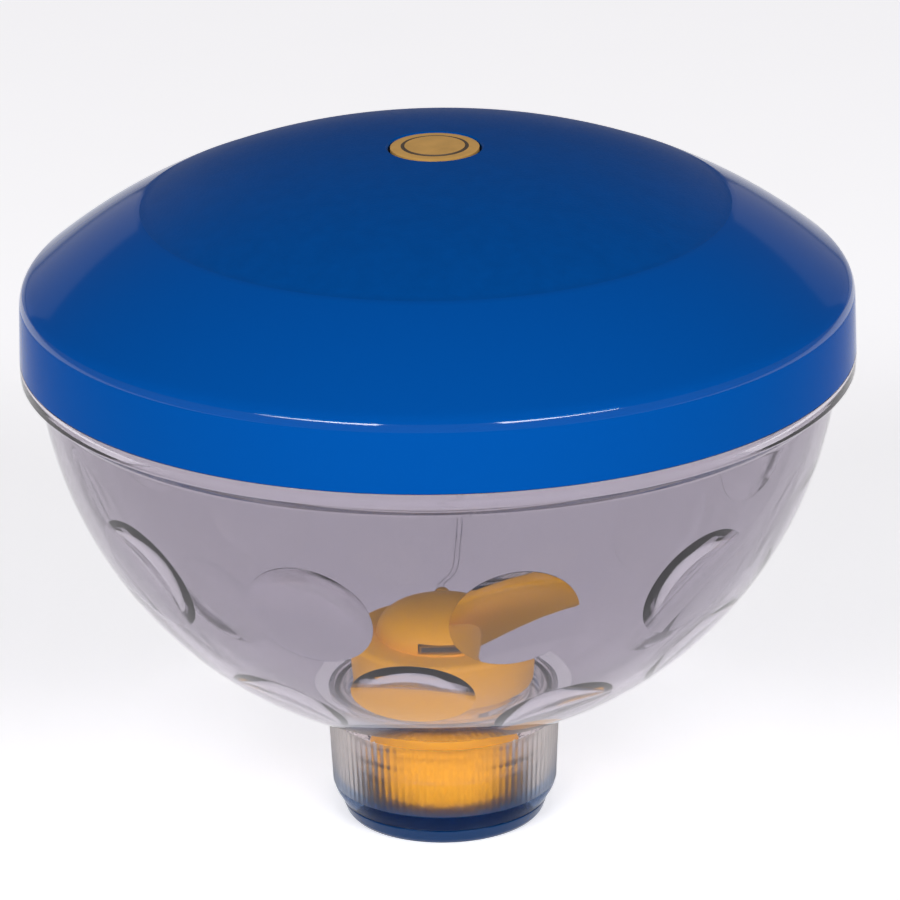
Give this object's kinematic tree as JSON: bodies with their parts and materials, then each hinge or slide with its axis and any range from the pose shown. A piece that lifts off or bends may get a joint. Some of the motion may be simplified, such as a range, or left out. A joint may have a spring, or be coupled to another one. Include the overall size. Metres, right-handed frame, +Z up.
{
  "type": "floating pool light",
  "caption": "Mushroom-shaped floating pool light: blue domed cover with a push button, clear lensed bowl and a twist-off clear battery cup below.",
  "frame": {"origin": "centre of the flat foot of the battery cup", "axes": "+Z up along the light's axis, towards the button; -Y is the front of the light"},
  "size_m": [0.2004, 0.2004, 0.1704],
  "materials": {
    "blue_cover": "glossy moulded plastic, textured in the middle",
    "clear_plastic": "clear moulded plastic, glossy",
    "yellow_plastic": "satin moulded plastic",
    "dark_blue_plastic": "satin moulded plastic",
    "ballast_coating": "thick satin coating on steel",
    "gold_button": "satin gold print",
    "seal_rubber": "matt rubber",
    "membrane": "fine matt mesh",
    "silicone": "soft translucent silicone",
    "plated_steel": "plated",
    "circuit_board": "white solder mask",
    "black_plastic": "matt",
    "white_plastic": "matt",
    "clear_insulation": "clear flexible insulation over a fine wire",
    "cell_sleeve": "printed sleeve",
    "led_lens": "clear epoxy"
  },
  "bodies": {
    "hull": {"top_cover": "blue_cover", "cover_gasket": "seal_rubber", "clear_bowl": "clear_plastic", "battery_barrel": "yellow_plastic", "vent_membrane": "membrane", "barrel_end_cap": "dark_blue_plastic", "barrel_screw_1": "plated_steel", "barrel_screw_2": "plated_steel", "barrel_screw_3": "plated_steel", "aaa_cell_1": "cell_sleeve", "aaa_cell_2": "cell_sleeve", "aaa_cell_3": "cell_sleeve", "aaa_cell_4": "cell_sleeve", "contact_spring_1": "plated_steel", "contact_spring_2": "plated_steel", "contact_spring_3": "plated_steel", "contact_spring_4": "plated_steel", "upper_contact_board": "circuit_board", "lower_contact_board": "circuit_board", "wire_grommet": "seal_rubber", "wire_positive": "clear_insulation", "wire_negative": "clear_insulation", "led_board": "circuit_board", "board_screw_1": "plated_steel", "board_screw_2": "plated_steel", "board_screw_3": "plated_steel", "led_1": "led_lens", "led_2": "led_lens", "led_3": "led_lens", "led_4": "led_lens", "led_5": "led_lens", "tact_switch": "black_plastic", "driver_chip": "black_plastic", "wire_connector": "white_plastic", "button_boot": "silicone", "boot_retainer": "blue_cover"},
    "button": {"button": "gold_button"},
    "cup_seal": {"cup_o_ring": "seal_rubber"},
    "battery_cup": {"battery_cup": "clear_plastic", "cup_base": "blue_cover", "ballast_ring": "ballast_coating"}
  },
  "joints": [
    {"name": "button_press", "type": "slide", "parent": "hull", "child": "button", "axis": [0, 0, -1], "range_m": [0, 0.0015], "stiffness_N_per_m": 1200, "deforming": ["button_boot"]},
    {"name": "cup_drop", "type": "slide", "parent": "hull", "child": "cup_seal", "axis": [0, 0, -1], "range_m": [0, 0.0102]},
    {"name": "cup_turn", "type": "hinge", "parent": "cup_seal", "child": "battery_cup", "pos_m": [0, 0, 0.0135], "axis": [0, 0, -1], "range_deg": [0, 540]}
  ],
  "couplings": [
    {"joint": "cup_drop", "follows": "cup_turn", "m_per_rad": 0.00108}
  ]
}
